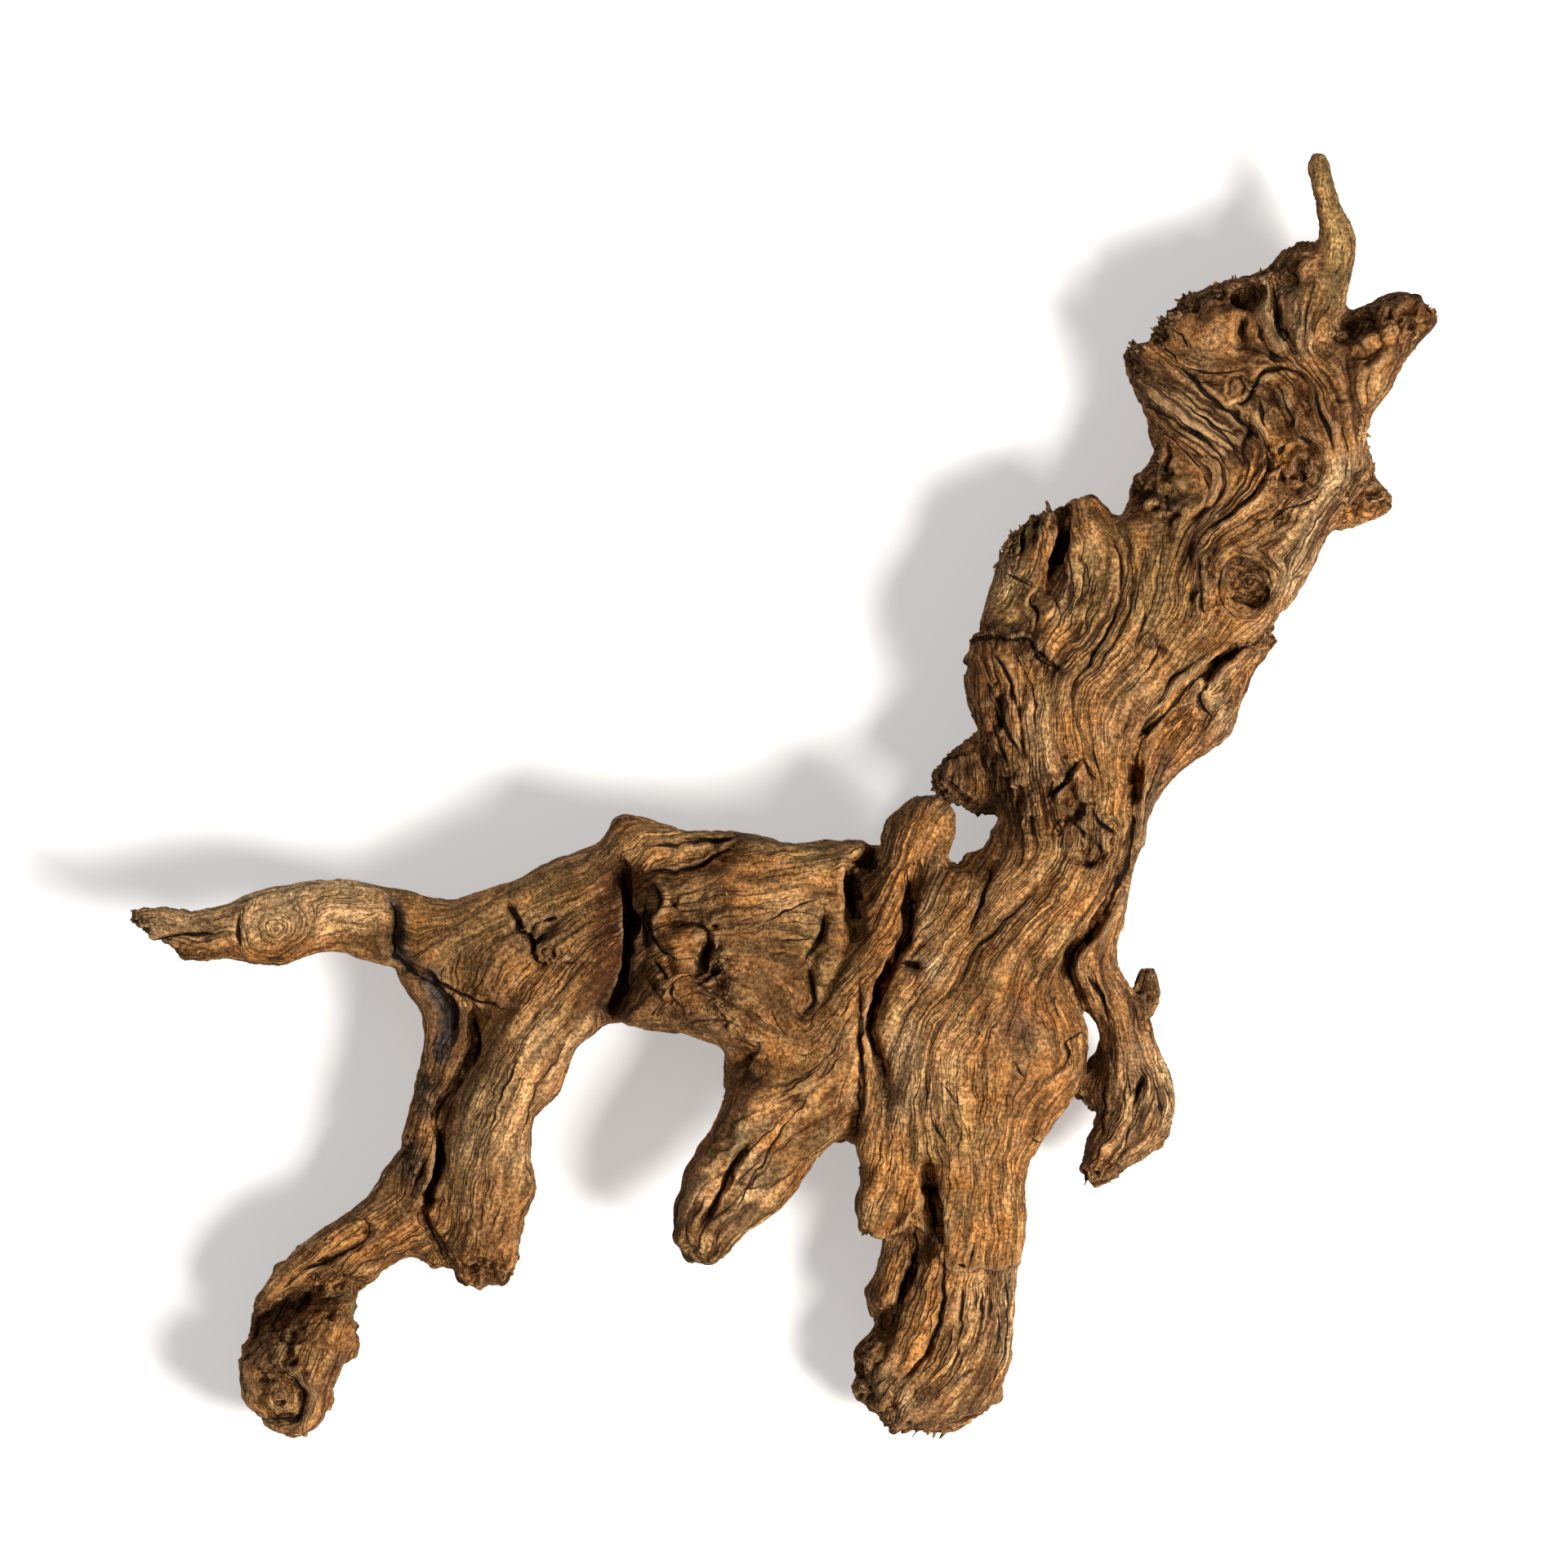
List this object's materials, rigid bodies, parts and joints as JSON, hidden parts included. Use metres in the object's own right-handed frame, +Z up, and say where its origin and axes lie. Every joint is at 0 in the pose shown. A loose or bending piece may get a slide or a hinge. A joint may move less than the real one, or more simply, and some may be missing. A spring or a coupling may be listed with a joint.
{
  "type": "piece of driftwood",
  "caption": "Weathered root wood with a leaning trunk, stubby legs, a bare side arm, a thin twig and a drooping root, lying on its back.",
  "frame": {"origin": "under the middle of the wood's box, on the surface it rests on", "axes": "+X towards the right stub, away from the bare arm; +Y towards the twig and crown, away from the legs; +Z up, from the side it lies on to the side that the picture shows"},
  "size_m": [0.48, 0.4728, 0.0732],
  "materials": {
    "driftwood": "dry, weathered and unsealed, with open grain and cracks"
  },
  "bodies": {
    "root": {"driftwood": "driftwood"}
  },
  "joints": []
}
